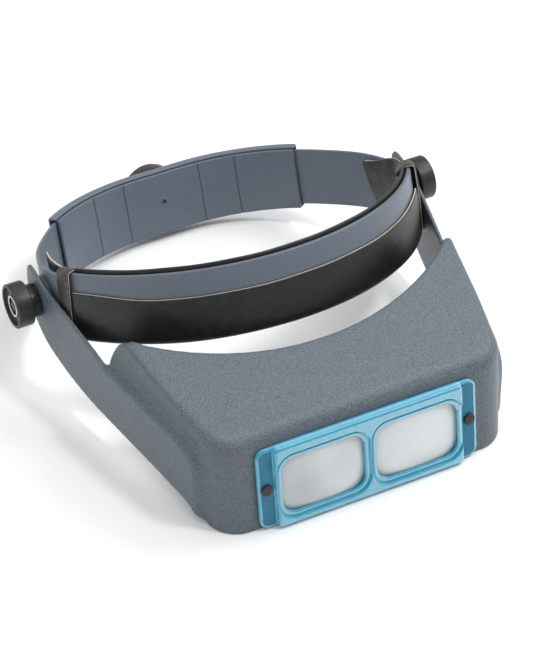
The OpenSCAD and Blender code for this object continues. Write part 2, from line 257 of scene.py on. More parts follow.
def lens_glass(name):
    """Clear lens with a faint satin haze."""
    shader = Shader(name, IOR=1.46, Transmission_Weight=0.2, Specular_IOR_Level=0.3)
    haze = shader.noise(38.0, 1.0)
    shader.colour(shader.mix(shader.band(haze, 0.35, 0.65), srgb(184, 190, 192), srgb(224, 229, 230)))
    shader.roughness(shader.span(haze, 0.5, 0.6))
    return shader.material


def fibre(name):
    """Pressed fibre of the washers."""
    shader = Shader(name, Specular_IOR_Level=0.2)
    strands = shader.noise(0.4, 4.0)
    shader.colour(shader.mix(strands, srgb(42, 38, 36), srgb(92, 86, 80)))
    shader.roughness(shader.span(strands, 0.7, 0.9))
    shader.bump(strands, 0.1, 0.8)
    return shader.material


VISOR_PLASTIC = grained_plastic("visor_plastic", srgb(68, 79, 87), srgb(102, 113, 121), 0.6, 0.32, 0.32)
BAND_PLASTIC = grained_plastic("band_plastic", srgb(89, 99, 111), srgb(104, 114, 127), 0.45, 0.04, 0.4)
BAND_LEATHER = leather("comfort_leather", srgb(20, 18, 16), srgb(29, 27, 25), 5.0)
KEEPER_LEATHER = leather("keeper_leather", srgb(50, 44, 42), srgb(72, 66, 64), 7.0)
CUT_EDGE = cut_edge("leather_cut_edge")
KNOB_PLASTIC = knob_plastic("knob_plastic")
PIN_PLASTIC = knob_plastic("pin_plastic")
STEEL = metal("bolt_steel", srgb(190, 190, 188), 0.32)
BRASS = metal("insert_brass", srgb(206, 172, 104), 0.3)
RING_METAL = metal("ring_metal", srgb(205, 206, 206), 0.28)
LENS_FRAME = tinted_plastic("lens_frame_plastic", srgb(34, 154, 190), srgb(66, 188, 216), 0.3)
# a darker, opaque copy of the lens plate's blue: painted shade on the flanges, where the dark visor behind
# would show through
LENS_FLANGE_PAINTED_SHADE = tinted_plastic("lens_flange_painted_shade", srgb(34, 108, 134), srgb(50, 124, 152), 0.0)
LENS_GLASS = lens_glass("lens_glass")
WASHER_FIBRE = fibre("washer_fibre")


# ---- meshes ----
def add_mesh(name, points, faces, *materials, slots=None):
    """A smooth-shaded mesh object from row points in mm. slots gives each face's material."""
    mesh = bpy.data.meshes.new(name)
    if isinstance(faces, np.ndarray):
        faces = faces.tolist()
    mesh.from_pydata((np.asarray(points) * MM).tolist(), [], faces)
    for material in materials:
        mesh.materials.append(material)
    if slots is not None:
        mesh.polygons.foreach_set("material_index", slots)
    mesh.polygons.foreach_set("use_smooth", [True] * len(mesh.polygons))
    mesh.update()
    piece = bpy.data.objects.new(name, mesh)
    bpy.context.scene.collection.objects.link(piece)
    return piece


def stands_for(piece, body, slot, *nodes):
    """Replaces CAD nodes by a piece that moves with one body."""
    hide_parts(*nodes)
    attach(piece, body)


# ---- solids as distance fields: negative inside, in mm, all edges rounded ----
def smooth_step(value, low, high):
    t = np.clip((value - low) / (high - low), 0, 1)
    return t * t * (3 - 2 * t)


def rounded_and(a, b, radius):
    """What lies inside both fields, with the edge between them rounded."""
    corner = np.hypot(np.maximum(a + radius, 0), np.maximum(b + radius, 0))
    return np.minimum(np.maximum(a, b), -radius) + corner


def rounded_or(a, b, radius):
    """What lies inside either field, with a fillet where they meet."""
    return -rounded_and(-a, -b, radius)


def outline_distance(outline, u, v):
    """Distance from the grid (u, v) to a closed outline of straight sides."""
    nearest = np.full(np.broadcast(u, v).shape, 1e6)
    inside = np.zeros(nearest.shape, bool)
    for (u0, v0), (u1, v1) in zip(outline, outline[1:] + outline[:1]):
        du, dv = u1 - u0, v1 - v0
        t = np.clip(((u - u0) * du + (v - v0) * dv) / (du * du + dv * dv), 0, 1)
        nearest = np.minimum(nearest, np.hypot(u - u0 - t * du, v - v0 - t * dv))
        if v0 != v1:
            inside ^= ((v0 <= v) != (v1 <= v)) & (u < u0 + (v - v0) * du / dv)
    return np.where(inside, -nearest, nearest)


def rectangle_distance(u, v, half_u, half_v, radius):
    du = np.abs(u) - half_u + radius
    dv = np.abs(v) - half_v + radius
    return np.minimum(np.maximum(du, dv), 0) + np.hypot(np.maximum(du, 0), np.maximum(dv, 0)) - radius


def curve(start, control, end, count=10):
    """Points along a quadratic curve."""
    start, control, end = map(np.array, (start, control, end))
    return [tuple((1 - t) ** 2 * start + 2 * t * (1 - t) * control + t * t * end)
            for t in np.linspace(0, 1, count)]


class Grid:
    """A box of evenly spaced points. x, y and z broadcast against each other."""

    def __init__(self, low, high, step):
        self.low = np.array(low, float)
        self.step = np.broadcast_to(np.array(step, float), 3)
        counts = np.ceil((np.array(high) - self.low) / self.step).astype(int) + 1
        axes = [self.low[i] + self.step[i] * np.arange(counts[i]) for i in range(3)]
        self.x = axes[0][:, None, None].astype(np.float32)
        self.y = axes[1][None, :, None].astype(np.float32)
        self.z = axes[2][None, None, :].astype(np.float32)


def field_at(field, spots):
    """The field and its slope at fractional grid positions."""
    base = np.clip(np.floor(spots).astype(int), 0, np.array(field.shape) - 2)
    part = spots - base
    value = np.zeros(len(spots))
    slope = np.zeros((len(spots), 3))
    for corner in np.ndindex(2, 2, 2):
        at = field[tuple((base + corner).T)]
        weights = [part[:, i] if corner[i] else 1 - part[:, i] for i in range(3)]
        value += at * weights[0] * weights[1] * weights[2]
        for i in range(3):
            others = weights[(i + 1) % 3] * weights[(i + 2) % 3]
            slope[:, i] += at * others * (1 if corner[i] else -1)
    return value, slope


def surface_of(field, grid):
    """Quads on the zero surface of a field: one point per crossed cell, drawn onto the surface."""
    inside = field < 0
    size = np.array(field.shape) - 1
    filled = sum(inside[i:i + size[0], j:j + size[1], k:k + size[2]].astype(np.int8)
                 for i, j, k in np.ndindex(2, 2, 2))
    crossed = (filled > 0) & (filled < 8)
    cells = np.argwhere(crossed)
    number = np.full(crossed.shape, -1)
    number[crossed] = np.arange(len(cells))
    total = np.zeros((len(cells), 3))
    count = np.zeros(len(cells))
    for axis in range(3):
        along = np.eye(3, dtype=int)[axis]
        for a, b in np.ndindex(2, 2):
            start = np.insert([a, b], axis, 0)
            f0 = field[tuple((cells + start).T)]
            f1 = field[tuple((cells + start + along).T)]
            cut = (f0 < 0) != (f1 < 0)
            t = np.where(cut, f0 / np.where(cut, f0 - f1, 1), 0)
            total += np.where(cut[:, None], start + t[:, None] * along, 0)
            count += cut
    spots = cells + total / count[:, None]
    for _ in range(3):
        value, slope = field_at(field, spots)
        move = value[:, None] * slope / np.maximum((slope ** 2).sum(1), 1e-6)[:, None]
        spots = np.clip(spots - np.clip(move, -0.4, 0.4), cells - 0.3, cells + 1.3)
    quads = []
    for axis in range(3):
        second, third = (axis + 1) % 3, (axis + 2) % 3
        along = np.eye(3, dtype=int)[axis]
        end = [slice(None)] * 3
        end[axis] = slice(0, -1)
        later = [slice(None)] * 3
        later[axis] = slice(1, None)
        edges = np.argwhere(inside[tuple(end)] != inside[tuple(later)])
        edges = edges[(edges[:, second] > 0) & (edges[:, third] > 0)
                      & (edges[:, second] < size[second]) & (edges[:, third] < size[third])]
        step2 = np.eye(3, dtype=int)[second]
        step3 = np.eye(3, dtype=int)[third]
        ring = [number[tuple((edges - a * step2 - b * step3).T)]
                for a, b in ((1, 1), (0, 1), (0, 0), (1, 0))]
        quad = np.stack(ring, 1)
        backward = ~inside[tuple(edges.T)]
        quad[backward] = quad[backward][:, ::-1]
        quads.append(quad)
    return grid.low + spots * grid.step, np.concatenate(quads)


# ---- visor ----
WALL, ARM_WALL = 2.6, 2.3
TOP_SLOPE, TOP_Y, TOP_Z = 0.2075, -66.8, 18.8
HOOD_CORNER_R, FRONT_EDGE_R, REAR_EDGE_R = 12.0, 5.5, 2.3
ARM_X, ARM_SLOPE, ARM_BEND = 95.7, 0.16, -9.0
SIDE_STEP = 4.0
EAR_WIDTH = 4.0
BROW_R, BROW_Y = 122.0, 26.2
BORE_R, SEAT_R = 2.6, 12.0
PLATE_LEAN = math.atan2(PLATE_OUT[2], -PLATE_OUT[1])
PIN_X = 50.2


def visor_field(grid):
    """One half of the visor, from the pivot: a leaning hood and its arms, hollowed to a thin wall."""
    x, y, z = grid.x, grid.y, grid.z
    upright = math.cos(math.atan(ARM_SLOPE))
    # side walls and arms close towards the front, with a soft bend ahead of the pivot
    ahead = y - ARM_BEND
    arm_plane = (x - ARM_X - ARM_SLOPE * 0.5 * (ahead - np.sqrt(ahead ** 2 + 9))) * upright
    side_plane = arm_plane + SIDE_STEP * upright
    front_y = PLATE_Y + 2.1 / math.cos(PLATE_LEAN) + (z - PLATE_Z) * math.tan(PLATE_LEAN)
    front_plane = (front_y - y) * math.cos(PLATE_LEAN)
    top_plane = (z - TOP_Z - TOP_SLOPE * (y - TOP_Y)) / math.hypot(1, TOP_SLOPE)
    top_edge_r = FRONT_EDGE_R + (REAR_EDGE_R - FRONT_EDGE_R) * smooth_step(y, -128, -95)
    hood = rounded_and(rounded_and(side_plane, front_plane, HOOD_CORNER_R), top_plane, top_edge_r)

    # the arm panels stand out of the hood's sides, below a crease
    crease = ([(40, 80), (-57.4, 80), (-57.4, -0.7)]
              + curve((-106, -2.6), (-125.2, -3.2), (-125.6, -18), 12)
              + [(-126.3, -90), (40, -90)])
    panel = rounded_and(outline_distance(crease, y[0], z[0])[None], arm_plane, 2.4)
    solid = rounded_or(hood, panel, 4.0)
    wall = WALL + (ARM_WALL - WALL) * smooth_step(y, -75, -50)
    shell = np.maximum(solid, -(solid + wall))

    # side view: lower edge, arm tip, upper edge, notch and ear
    outline = ([(-170, FLOOR), (-128.5, FLOOR), (-125.5, -38.6), (-121.6, -35.6), (-117, -34.0)]
               + [(-95, -32.4), (-62, -30.7)]
               + curve((-50, -30), (-22, -27.5), (1, -13.4)) + [(4.5, -12.4)]
               + curve((6.5, -12.2), (9.2, -12), (9.3, -8.5), 5)
               + [(9.8, 8), (9.4, 12), (7.8, 14.3), (5, 14.6)]
               + curve((3, 14.5), (-25, 10), (-57.2, -0.4), 16)
               + curve((-57.4, 0.5), (-58.8, 16.5), (-69.5, 18.9), 12) + [(-90, 60), (-170, 60)])
    shell = rounded_and(shell, outline_distance(outline, y[0], z[0])[None], 0.9)

    # the brow edge is concave, and runs into the ears inside the side walls
    head_side = np.hypot(x, y - BROW_Y) - BROW_R
    shell = rounded_and(shell, -rounded_and(head_side, side_plane + EAR_WIDTH, 4.0), 0.8)
    shell = rounded_and(shell, FLOOR - z, 0.5)

    # bores and washer seats at the pivot, the window behind the lens plate and the holes for its pins
    from_pivot = np.hypot(y, z)
    shell = np.maximum(shell, BORE_R - from_pivot)
    shell = np.maximum(shell, -np.maximum(from_pivot - SEAT_R, x - ARM_X + ARM_WALL))
    behind = (z - PLATE_Z) * PLATE_OUT[2] + (y - PLATE_Y) * PLATE_OUT[1]
    height = (y - PLATE_Y) * PLATE_UP[1] + (z - PLATE_Z) * PLATE_UP[2]
    window = rounded_and(rectangle_distance(x, height - 0.5, 45, 16, 3), -8 - behind, 0.5)
    pin_hole = np.maximum(np.hypot(x - PIN_X, height) - 2.0, -8 - behind)
    return np.maximum(shell, -np.minimum(window, pin_hole))


def make_visor():
    """The half field is mirrored across x = 0, so that both sides are alike."""
    half = Grid((0, -146, FLOOR - 1.5), (98, 12, 24), 0.65)
    field = visor_field(half)
    whole = np.concatenate([field[:0:-1], field])
    half.low[0] = -half.step[0] * (len(field) - 1)
    points, quads = surface_of(whole, half)
    piece = add_mesh("visor_moulding", from_visor(points), quads, VISOR_PLASTIC)
    stands_for(piece, "visor", "visor_plastic", "visor_shell")


# ---- lens plate ----
PLATE_W, PLATE_H, FLANGE_T, BOX_RISE, BOX_HALF = 108.4, 40.8, 2.0, 2.8, 46.2
PLATE_CORNER_R = 4.5
WINDOW_W, WINDOW_H, WINDOW_X, WINDOW_Y = 40.0, 27.6, 23.2, 0.7
LENS_R, LENS_FRONT, LENS_BACK = 90.0, 2.2, -5.0


def lens_plate_field(grid):
    """Flat flange plate with a raised box, two windows in shallow recesses and two pin holes."""
    x, y, z = np.abs(grid.x), grid.y, grid.z
    flange = rounded_and(rectangle_distance(x, y, PLATE_W / 2, PLATE_H / 2, PLATE_CORNER_R),
                         np.abs(z + FLANGE_T / 2) - FLANGE_T / 2, 0.6)
    middle = (BOX_RISE - FLANGE_T) / 2
    box = rounded_and(rectangle_distance(x, y, BOX_HALF, PLATE_H / 2, 1.6),
                      np.abs(z - middle) - (BOX_RISE + FLANGE_T) / 2, 0.9)
    body = rounded_or(flange, box, 0.7)

    def window(grow, radius):
        half_w, half_h = WINDOW_W / 2 + grow, WINDOW_H / 2 + grow
        return rectangle_distance(x - WINDOW_X, y - WINDOW_Y, half_w, half_h, radius)

    recess = rounded_and(window(2.6, 8.3), BOX_RISE - 0.8 - z, 0.3)
    groove = np.maximum(np.abs(window(2.6, 8.3)) - 0.45, BOX_RISE - 1.2 - z)
    opening = window(0.0, 6.0) - np.clip(z - 1.2, 0, 2) * 0.8
    pocket = rounded_and(window(1.5, 7.0), z - 1.2, 0.3)
    cut = np.minimum(np.minimum(np.minimum(recess, groove), opening), pocket)
    body = rounded_and(body, -cut, 0.3)
    return rounded_and(body, 2.0 - np.hypot(x - PIN_X, y), 0.35)


def lens_field(grid):
    """Lens between two spherical faces, with a rim that sits in the plate's pocket."""
    x, y, z = grid.x, grid.y, grid.z
    half_w, half_h = WINDOW_W / 2, WINDOW_H / 2
    rim = rectangle_distance(x, y, half_w + 1.3, half_h + 1.3, 6.8)
    slab = np.abs(z + 2.4) - 3.5
    front_ball = np.sqrt(x * x + y * y + (z - LENS_FRONT + LENS_R) ** 2) - LENS_R
    back_ball = np.sqrt(x * x + y * y + (z - LENS_BACK - LENS_R) ** 2) - LENS_R
    neck = rounded_and(rectangle_distance(x, y, half_w - 0.15, half_h - 0.15, 5.9), front_ball, 0.5)
    body = np.minimum(rounded_and(rim, slab, 0.3), neck)
    return np.maximum(rounded_and(body, front_ball, 0.3), back_ball)


def make_lens_plate():
    grid = Grid((-56, -21.5, -3.5), (56, 21.5, 4), (0.4, 0.4, 0.3))
    points, quads = surface_of(lens_plate_field(grid), grid)
    # the flat flanges get a darker, opaque copy of the blue: painted shade for the dark visor that shows
    # through them, so they look deeper than the box and the rounded rims
    middles = points[quads].mean(1)
    across, up = middles[:, 0], middles[:, 1]
    edge = rectangle_distance(across, up, PLATE_W / 2, PLATE_H / 2, PLATE_CORNER_R)
    flange_painted_shade = (np.abs(across) > BOX_HALF + 0.5) & (edge < -1.0)
    piece = add_mesh("lens_plate_moulding", from_plate(points), quads, LENS_FRAME, LENS_FLANGE_PAINTED_SHADE,
                     slots=flange_painted_shade.astype(int).tolist())
    stands_for(piece, "lens_unit", "lens_frame_plastic", "lens_plate")
    grid = Grid((-23, -17, -7), (23, 17, 3.5), 0.4)
    points, quads = surface_of(lens_field(grid), grid)
    for side, node in ((-1, "left_lens"), (1, "right_lens")):
        shifted = points + np.array([side * WINDOW_X, WINDOW_Y, 0])
        lens = add_mesh(node + "_glass", from_plate(shifted), quads, LENS_GLASS)
        stands_for(lens, "lens_unit", "lens_glass", node)


# ---- turned pieces ----
def turned(name, profile, place, *materials, slots=None, around=96):
    """A solid of revolution from a closed profile of (radius, height) points.

    place maps (n, 3) points to row points. Points on the axis become one point each.
    slots gives the material of the faces after each profile point."""
    angles = np.linspace(0, 2 * math.pi, around, endpoint=False)
    circle = np.stack([np.cos(angles), np.sin(angles)], 1)
    points, rings, faces, owner = [], [], [], []
    for radius, height in profile:
        start = len(points)
        if radius > 0:
            points += [(x * radius, y * radius, height) for x, y in circle]
            rings.append(range(start, start + around))
        else:
            points.append((0.0, 0.0, height))
            rings.append([start] * around)
    for k, ring in enumerate(rings):
        after = rings[(k + 1) % len(rings)]
        if ring[0] == ring[1] and after[0] == after[1]:
            continue
        for i in range(around):
            j = (i + 1) % around
            corners = dict.fromkeys((ring[i], ring[j], after[j], after[i]))
            faces.append(tuple(corners))
            owner.append(k)
    return add_mesh(name, place(np.array(points)), faces, *materials,
                    slots=None if slots is None else [slots(k) for k in owner])


def eased(corners, radius, steps=3):
    """A profile whose inner corners are rounded to a radius."""
    out = [corners[0]]
    for before, corner, after in zip(corners, corners[1:], corners[2:]):
        before, corner, after = map(np.array, (before, corner, after))
        first = (before - corner) / max(np.linalg.norm(before - corner), 1e-6)
        second = (after - corner) / max(np.linalg.norm(after - corner), 1e-6)
        reach = min(radius, 0.45 * np.linalg.norm(before - corner), 0.45 * np.linalg.norm(after - corner))
        out += curve(corner + first * reach, corner, corner + second * reach, steps + 1)
    return out + [corners[-1]]


def side_place(side, from_x):
    """Places a turned piece on the tilt axis, facing outwards from from_x on one side."""
    def place(points):
        return PIVOT + np.stack([side * (from_x + points[:, 2]), side * points[:, 1], points[:, 0]], 1)
    return place


def rear_place(from_y, height, way=1):
    """Places a turned piece behind the head; way = -1 turns it to face the head."""
    def place(points):
        return from_band(points[:, 0], from_y + way * points[:, 2], height - way * points[:, 1])
    return place


DISH_DEPTH = 1.6
RING_W, RING_T = 1.1, 0.9


def knob_profile(hub_r, head_r, hub_h, full, dish_r, core_r):
    """Hub, head and a dished face with a low boss in the middle."""
    floor = full - DISH_DEPTH
    return eased([(0, 0.6), (core_r, 0.6), (core_r, 0), (hub_r, 0), (hub_r, hub_h), (head_r, hub_h),
                  (head_r, full), (dish_r, full), (dish_r, floor), (0.28 * dish_r, floor),
                  (0.22 * dish_r, floor + 0.6), (0, floor + 0.6)], 0.6)


def ring_profile(radius):
    """Cross-section of a low trim ring, walked so that its faces point outwards."""
    inner = radius - RING_W
    return eased([(inner, 0), (radius, 0), (radius, RING_T), (inner, RING_T), (inner, 0)], 0.3)[:-1]


# ---- strips that follow the headband's outline ----
BAND_HALF, BAND_FRONT, BAND_REAR, WIDEST_Y = 90.9, 78.0, 76.0, -10.0
FRONT_R, SIDE_R = 100.0, 90.5
FRONT_CY = FRONT_R - BAND_FRONT
TEMPLE_DY = FRONT_CY - WIDEST_Y
TEMPLE_R = (FRONT_R ** 2 - BAND_HALF ** 2 - TEMPLE_DY ** 2) / (2 * (FRONT_R - BAND_HALF))
TEMPLE_CX = BAND_HALF - TEMPLE_R
FRONT_END = -math.atan2(TEMPLE_DY, TEMPLE_CX)
SIDE_CX = BAND_HALF - SIDE_R
REAR_CX = SIDE_CX + math.sqrt((SIDE_R - BAND_REAR) ** 2 - WIDEST_Y ** 2)
SIDE_END = math.atan2(-WIDEST_Y, REAR_CX - SIDE_CX)
# Right half of the outline from the forehead to the nape: arc centre, radius, first and last angle
ARCS = (((0.0, FRONT_CY), FRONT_R, -math.pi / 2, FRONT_END),
        ((TEMPLE_CX, WIDEST_Y), TEMPLE_R, FRONT_END, 0.0),
        ((SIDE_CX, WIDEST_Y), SIDE_R, 0.0, SIDE_END),
        ((REAR_CX, 0.0), BAND_REAR, SIDE_END, math.pi / 2))
TEMPLE_START = FRONT_R * (FRONT_END + math.pi / 2)
WIDEST = TEMPLE_START - TEMPLE_R * FRONT_END
REAR_START = WIDEST + SIDE_R * SIDE_END
NAPE = REAR_START + BAND_REAR * (math.pi / 2 - SIDE_END) + REAR_CX


def on_outline(distance):
    """Point and outward direction at a distance along the outer face, from the forehead to the right.

    A distance past the nape runs back up the left side."""
    if distance > NAPE:
        distance -= 2 * NAPE
    side = -1.0 if distance < 0 else 1.0
    left = abs(distance)
    for (cx, cy), radius, first, last in ARCS:
        angle = first + left / radius
        if angle <= last + 1e-9:
            out = np.array([math.cos(angle), math.sin(angle)])
            point = np.array([cx, cy]) + radius * out
            return point * (side, 1), out * (side, 1)
        left -= radius * (last - first)
    return np.array([side * (REAR_CX - left), BAND_REAR]), np.array([0.0, 1.0])


def outline_distance_at_y(y):
    """Distance along the outline at which its right side reaches a depth y between temple and nape."""
    if y < WIDEST_Y:
        return WIDEST - TEMPLE_R * math.asin((WIDEST_Y - y) / TEMPLE_R)
    return WIDEST + SIDE_R * math.asin((y - WIDEST_Y) / SIDE_R)


def strip(name, stations, section, *materials, slots=None, lean=None, ends=(0, 0)):
    """A closed band: section(distance) gives its cross-section as (offset, height) points, always as many.

    lean(height) moves points along the band, away from the forehead.
    slots gives the material of each side of the section, ends that of the two end faces."""
    rows = []
    for s in stations:
        point, out = on_outline(s)
        loop = np.array(section(s))
        flat = point + loop[:, :1] * out
        if lean is not None:
            flat += lean(loop[:, 1:]) * np.array([-out[1], out[0]]) * math.copysign(1, s)
        rows.append(from_band(flat[:, 0], flat[:, 1], loop[:, 1]))
    count = len(rows[0])
    around = np.arange(count)
    following = (around + 1) % count
    faces = []
    for i in range(len(rows) - 1):
        a = i * count
        b = a + count
        faces += np.stack([a + around, a + following, b + following, b + around], 1).tolist()
    owner = list(around) * (len(rows) - 1)
    faces.append(around[::-1].tolist())
    faces.append(((len(rows) - 1) * count + around).tolist())
    return add_mesh(name, np.concatenate(rows), faces, *materials,
                    slots=None if slots is None else [slots(k) for k in owner] + list(ends))


def bar(outer, inner, low, high, radius, steps=3):
    """Rounded rectangular cross-section between two offsets and two heights."""
    radius = min(radius, 0.49 * abs(outer - inner), 0.49 * (high - low))
    loop = []
    for cx, cz, start in ((outer - radius, high - radius, 0), (inner + radius, high - radius, 90),
                          (inner + radius, low + radius, 180), (outer - radius, low + radius, 270)):
        for step in range(steps + 1):
            angle = math.radians(start + 90 * step / steps)
            loop.append((cx + radius * math.cos(angle), cz + radius * math.sin(angle)))
    return loop


def stations_between(first, last, step=2.0, fine=1.2):
    """Evenly spaced stations with closer ones at both ends, where the ends are rounded."""
    middle = np.linspace(first + fine, last - fine, max(2, int((last - first) / step)))
    near = fine * np.array([0.0, 0.06, 0.2, 0.45, 0.75])
    return np.concatenate([first + near, middle, last - near[::-1]])


def end_inset(s, first, last, radius):
    """How far a cross-section draws in near its ends, so that the end edges are round."""
    gap = min(s - first, last - s)
    if gap >= radius:
        return 0.0
    return radius - math.sqrt(max(radius ** 2 - (radius - gap) ** 2, 0))


def fold(path, thickness, round_steps=3):
    """Cross-section of a sheet that follows a path of (offset, height) points, with round ends."""
    path = np.array(path, float)
    ahead = np.gradient(path, axis=0)
    ahead /= np.linalg.norm(ahead, axis=1)[:, None]
    side = np.stack([-ahead[:, 1], ahead[:, 0]], 1) * thickness / 2
    def cap(centre, first, sweep):
        out = []
        for step in range(1, round_steps):
            angle = sweep * step / round_steps
            turn = np.array([[math.cos(angle), -math.sin(angle)], [math.sin(angle), math.cos(angle)]])
            out.append(centre + turn @ first)
        return out
    return np.array(list(path + side) + cap(path[-1], side[-1], -math.pi)
                    + list((path - side)[::-1]) + cap(path[0], -side[0], -math.pi))


FRONT_TOP, FRONT_BOTTOM, TEMPLE_TOP = 18.0, -14.5, 15.4
BAND_WALL, STRAP_WALL, LEATHER = 2.0, 1.6, 1.2
STRAP_LOW, STRAP_HIGH = -14.6, 13.8
BOSS_X, BOSS_T, BOSS_R, BOLT_HOLE_R = 92.2, 2.6, 10.0, 2.6


def make_front_band():
    last = outline_distance_at_y(7.0)

    def section(s):
        point, _ = on_outline(s)
        top = FRONT_TOP - (FRONT_TOP - TEMPLE_TOP) * smooth_step(point[1], -30, -12)
        top -= (TEMPLE_TOP - STRAP_HIGH) * smooth_step(point[1], -8, 2)
        inset = end_inset(s, -last, last, 0.9)
        return bar(-inset, -BAND_WALL + inset, FRONT_BOTTOM + inset, top - inset, 0.7)

    piece = strip("forehead_band", stations_between(-last, last), section, BAND_PLASTIC)
    stands_for(piece, "headband", "band_plastic", "front_band")
    for side, name in ((-1, "left_pivot_boss"), (1, "right_pivot_boss")):
        corners = [(BOLT_HOLE_R, 0), (BOSS_R, 0), (BOSS_R, BOSS_T), (BOLT_HOLE_R, BOSS_T), (BOLT_HOLE_R, 0)]
        boss = turned(name, eased(corners, 0.4)[:-1], side_place(side, BOSS_X - BOSS_T), BAND_PLASTIC)
        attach(boss, "headband")


def edge_slots(count, top_edge, far_edge):
    """Materials around a folded sheet of count points: cream on the cut edges that are asked for."""
    def slots(k):
        return 1 if (top_edge and k == 2 * count + 2) or (far_edge and k == count) else 0
    return slots


def make_comfort_band():
    last = outline_distance_at_y(-28.0)
    outer_top, inner_top, bottom = 5.5, 19.0, -15.4
    fold_h = 2.2

    def section(s):
        share = abs(s) / last
        ease = smooth_step(share, 0.55, 0.98)
        wave = 0.35 * math.sin(s * 0.083) + 0.25 * math.sin(s * 0.21 + 1.3)
        out = 0.95 + 0.15 * ease
        puff = 0.35 + 0.3 * ease * (1 - smooth_step(share, 0.85, 1.0))
        top = outer_top + (3.4 if s < 0 else 1.6) * ease + 0.3 * wave
        low = bottom + 1.2 * smooth_step(-s / last, 0.4, 1.0)
        inner = -BAND_WALL - 1.3
        crease = low + fold_h
        outer_leg = [(out, z) for z in (top, top - 1.2)]
        outer_leg += [(out + puff * math.sin(math.pi * t), top - 1.2 + (crease - top + 1.2) * t)
                      for t in (0.15, 0.35, 0.55, 0.75, 0.92)]
        middle = (out + inner) / 2
        half = (out - inner) / 2
        turn = [(middle + half * math.cos(a), crease - 1.9 * math.sin(a))
                for a in np.linspace(0.15, math.pi - 0.15, 7)]
        rise = inner_top + 0.25 * wave - crease
        inner_leg = [(inner - 0.4 * math.sin(math.pi * t), crease + rise * t)
                     for t in (0.1, 0.3, 0.5, 0.7, 0.9, 1.0)]
        inset = end_inset(s, -last, last, 0.55)
        return fold(outer_leg + turn + inner_leg, LEATHER - 1.6 * inset)

    points = 7 + 7 + 6
    piece = strip("comfort_leather_band", stations_between(-last, last, 1.6, 0.8), section,
                  BAND_LEATHER, CUT_EDGE, slots=edge_slots(points, True, False))
    stands_for(piece, "headband", "comfort_leather", "comfort_band")


def make_keeper(side, node, tongue_top):
    """Leather tab: a loop over the band in front of the pivot, and a tongue that lies inside the strap."""
    first = outline_distance_at_y(-28.4)
    loop_end = outline_distance_at_y(-20.6)
    last = outline_distance_at_y(17.5)
    inner = -BAND_WALL - 1.5
    corner = 3.2

    def tongue_section(s):
        s = abs(s)
        y = on_outline(s)[0][1]
        forward = 1 - smooth_step(s, first, first + 24)
        top = FRONT_TOP - (FRONT_TOP - tongue_top) * smooth_step(y, -16, 17.5)
        low = min(15.0, 1.6 - 0.6 * y)
        if last - s < corner:
            drop = corner - math.sqrt(max(corner ** 2 - (corner - last + s) ** 2, 0))
            low += drop
            top -= drop
        lift = inner - 2.0 * smooth_step(y, -26, 12)
        path = [(lift - (3.0 * forward + 0.6) * math.sin(0.5 * math.pi * t), top + (low - top) * t)
                for t in np.linspace(0, 1, 10)]
        return fold(path, LEATHER - 1.7 * end_inset(s, first, last, 0.5))

    def loop_section(s):
        s = abs(s)
        out = 0.75 + 1.25 * (1 - smooth_step(s, first, loop_end))
        top = FRONT_TOP + 0.2
        middle, half = (out + inner) / 2, (out - inner) / 2
        inside = [(inner - 0.3, 9.0), (inner - 0.2, 13.0), (inner, top - 1.0)]
        crown = [(middle - half * math.cos(a), top + 0.7 * math.sin(a))
                 for a in np.linspace(0.2, math.pi - 0.2, 8)]
        outside = [(out + 0.35 * math.sin(math.pi * t), top + (FRONT_BOTTOM - top) * t)
                   for t in np.linspace(0.05, 1, 9)]
        return fold(inside + crown + outside, LEATHER - 1.7 * end_inset(s, first, loop_end, 0.5))

    def loop_slant(height):
        return 0.11 * (FRONT_TOP - height)

    def tongue_slant(height):
        return -0.35 * (FRONT_TOP - height)

    tongue_stations = side * stations_between(first, last, 1.5, 3.2)[::side]
    tongue = strip(node + "_tongue", tongue_stations, tongue_section, KEEPER_LEATHER, CUT_EDGE,
                   slots=edge_slots(10, True, True), lean=tongue_slant)
    stands_for(tongue, "headband", "keeper_leather", node)
    loop_stations = side * stations_between(first, loop_end, 1.0, 0.8)[::side]
    loop = strip(node + "_loop", loop_stations, loop_section, KEEPER_LEATHER, CUT_EDGE,
                 slots=lambda k: 0, lean=loop_slant, ends=(1, 1))
    stands_for(loop, "headband", "keeper_leather", node)


def make_side_strap(side, node):
    """Strap from the temple into the sleeve, as one fixed strip in place of the CAD strap."""
    first = outline_distance_at_y(1.0)
    last = NAPE - 12.0

    def section(s):
        s = abs(s)
        into = smooth_step(s, first + 12, REAR_START - 12)
        outer = -0.2 - 2.0 * into
        inset = end_inset(s, first, last, 0.7)
        corner = 3.0
        tip = last - s
        drop = corner - math.sqrt(max(corner ** 2 - (corner - tip) ** 2, 0)) if tip < corner else 0.0
        return bar(outer - inset, outer - STRAP_WALL + inset, STRAP_LOW + inset + drop,
                   STRAP_HIGH - inset - drop, 0.6)

    stations = side * stations_between(first, last, 2.0, 3.2)[::side]
    piece = strip(node + "_strip", stations, section, BAND_PLASTIC)
    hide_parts(node)
    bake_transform(piece)


def length_to_nape(x):
    """Length of the outline from half width x on the rear arc to the nape."""
    return BAND_REAR * math.asin((x - REAR_CX) / BAND_REAR) + REAR_CX


SLEEVE_HALF_W, SLEEVE_HALF_H, SLEEVE_DEPTH, SLEEVE_RIM = 66.2, 16.0, 6.0, 1.1
SCORE_X = (20.8, 39.8)
SCORE_HALF_W, SCORE_DEPTH = 0.5, 0.5
STUD_Z = 0.2


